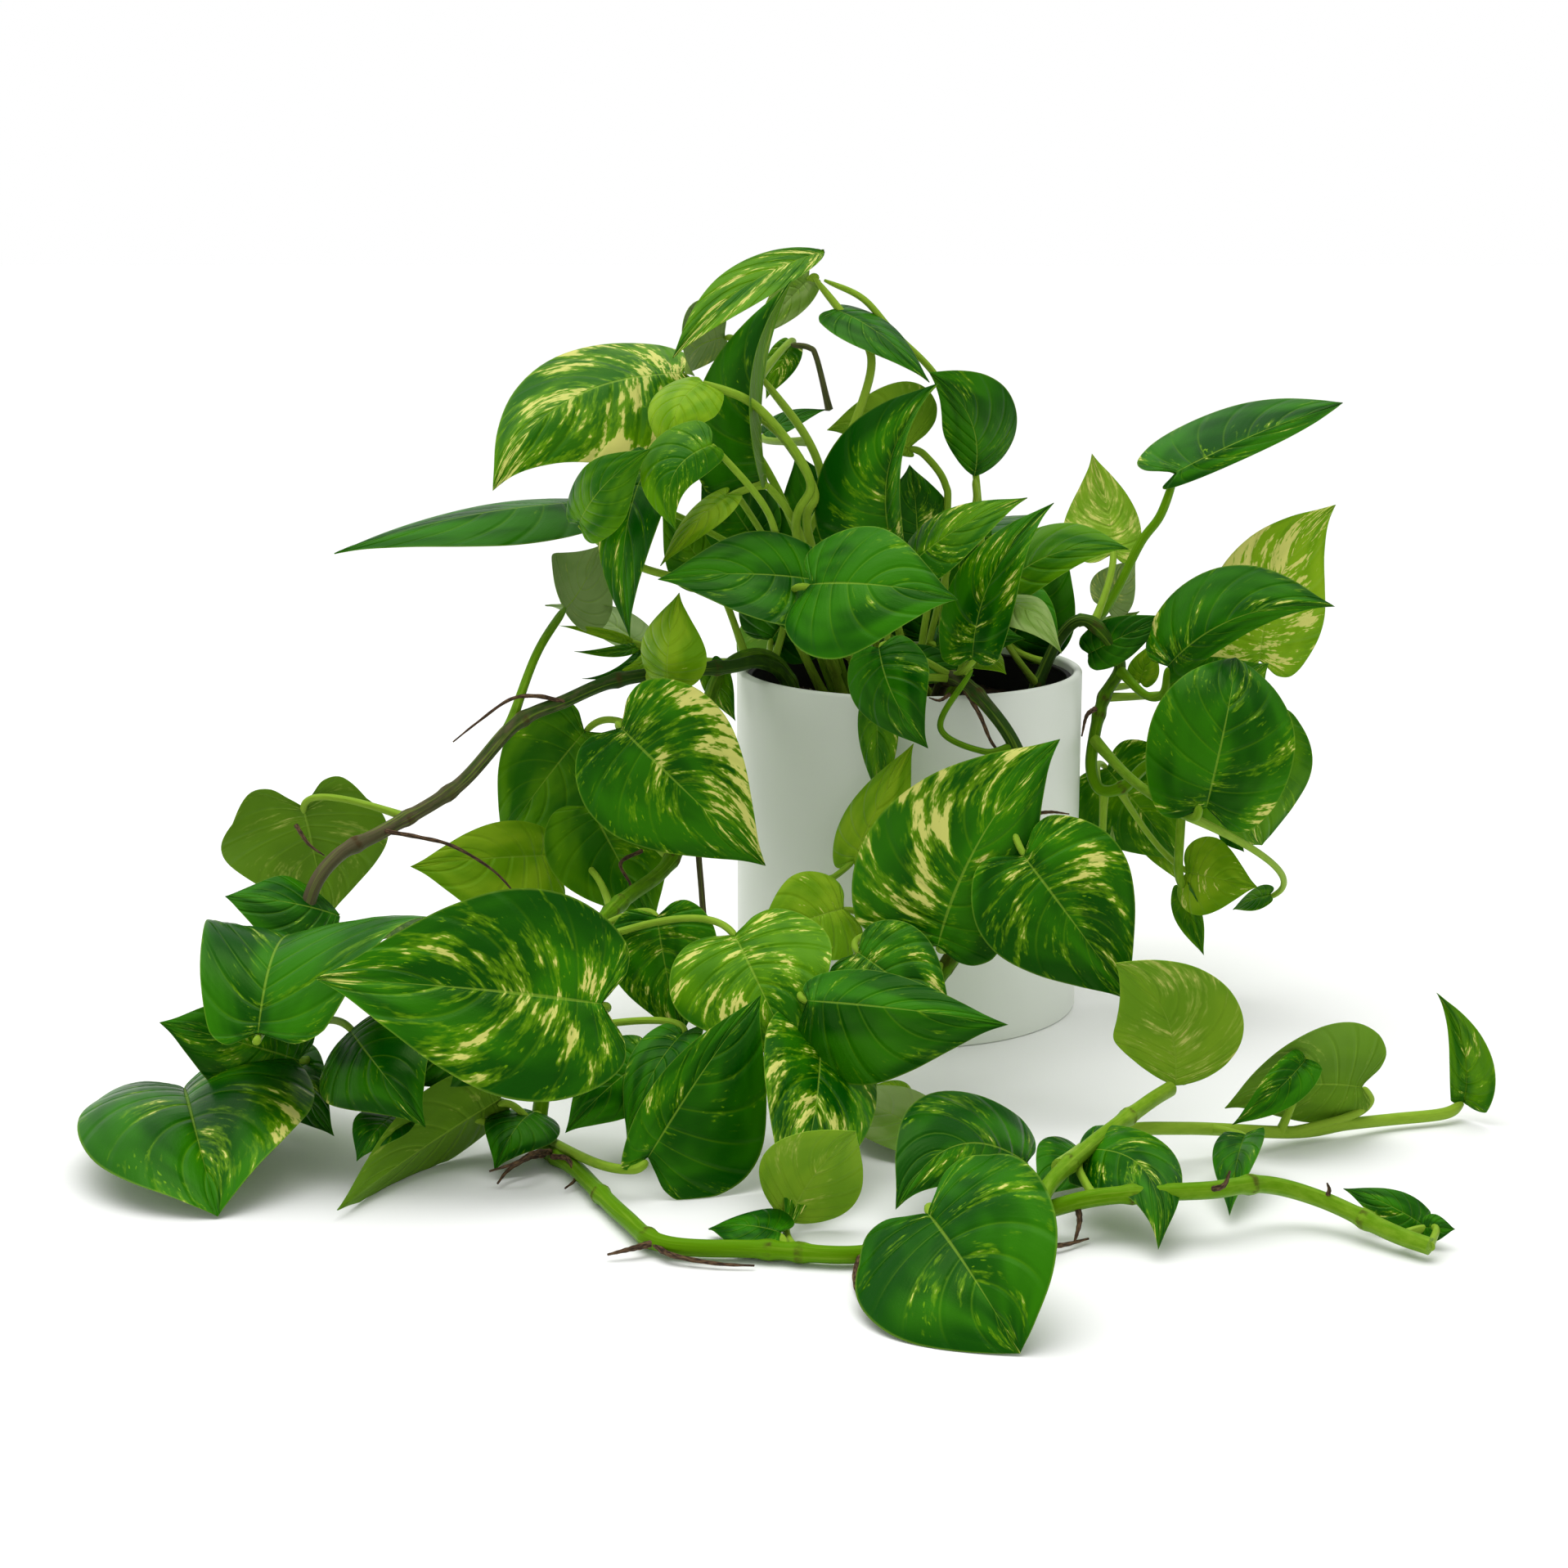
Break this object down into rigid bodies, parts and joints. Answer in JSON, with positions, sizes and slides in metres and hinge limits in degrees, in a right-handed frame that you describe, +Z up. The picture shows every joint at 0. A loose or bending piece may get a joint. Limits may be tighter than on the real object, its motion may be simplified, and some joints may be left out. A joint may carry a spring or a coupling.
{
  "type": "potted pothos plant",
  "caption": "Bushy golden pothos with heart-shaped marbled leaves on trailing vines, growing from dark soil in a plain white straight-sided pot and spilling over the rim to the floor.",
  "frame": {"origin": "centre of the pot's base, on the surface it stands on", "axes": "+Z up along the pot's axis, -Y towards the side where the vines trail forwards over the floor, +X to the right seen from that side"},
  "size_m": [0.4955, 0.4788, 0.3069],
  "materials": {
    "pot_shell": "smooth satin white with a softly rounded lip",
    "potting_mix": "dark crumbly potting mix",
    "green_stem": "smooth ridged green stem with pale stripes",
    "woody_stem": "grey-brown ridged old stem",
    "leaf_dark": "waxy deep green leaf with cream-yellow marbling",
    "leaf_mid": "waxy mid green leaf with cream-yellow marbling",
    "leaf_pale": "satin yellow-green leaf or pale underside"
  },
  "bodies": {
    "root": {"pot": "pot_shell", "soil": "potting_mix", "crown_stems": "green_stem", "vine_left_high": "woody_stem", "vine_left_low": "green_stem", "vine_front": "green_stem", "vine_right": "green_stem", "vine_back": "green_stem", "leaf_crown_top": "leaf_mid", "leaf_crown_tall": "leaf_dark", "leaf_crown_big_left": "leaf_mid", "leaf_crown_left_dark": "leaf_dark", "leaf_left_long": "leaf_mid", "leaf_center_wide": "leaf_dark", "leaf_center_heart": "leaf_dark", "leaf_center_upright": "leaf_mid", "leaf_crown_right_narrow": "leaf_dark", "leaf_crown_right_var": "leaf_dark", "leaf_right_stripe_a": "leaf_mid", "leaf_right_stripe_b": "leaf_dark", "leaf_right_brown_spot": "leaf_pale", "leaf_right_pale_back": "leaf_pale", "leaf_right_top_long": "leaf_dark", "leaf_right_upper": "leaf_dark", "leaf_right_back_light": "leaf_pale", "leaf_right_round": "leaf_dark", "leaf_right_behind": "leaf_dark", "leaf_rim_front_dark": "leaf_dark", "leaf_left_hang": "leaf_dark", "leaf_back_left_mid": "leaf_mid", "leaf_back_left_tip": "leaf_pale", "leaf_back_mid": "leaf_mid", "leaf_left_heart": "leaf_pale", "leaf_left_floor_heart": "leaf_dark", "leaf_left_gloss": "leaf_dark", "leaf_left_low_dark": "leaf_dark", "leaf_left_mid_gloss": "leaf_dark", "leaf_front_left_under": "leaf_pale", "leaf_front_big": "leaf_dark", "leaf_mid_left_dark": "leaf_dark", "leaf_center_left_var": "leaf_mid", "leaf_center_var": "leaf_dark", "leaf_center_point": "leaf_dark", "leaf_front_dark": "leaf_dark", "leaf_center_long_var": "leaf_dark", "leaf_front_light": "leaf_pale", "leaf_front_right_big": "leaf_dark", "leaf_front_right_heart": "leaf_dark", "leaf_right_under_up": "leaf_pale", "leaf_right_under_leaf": "leaf_mid", "leaf_far_right_tip": "leaf_mid", "leaf_curled_stripe": "leaf_dark", "leaf_front_lobed": "leaf_dark", "leaf_behind_front": "leaf_dark", "leaf_back_hang_left": "leaf_dark", "leaf_back_hang_right": "leaf_dark", "leaf_back_crown_left": "leaf_dark", "leaf_back_crown_right": "leaf_dark", "leaf_back_crown_mid": "leaf_mid", "leaf_back_low_left": "leaf_dark"}
  },
  "joints": []
}
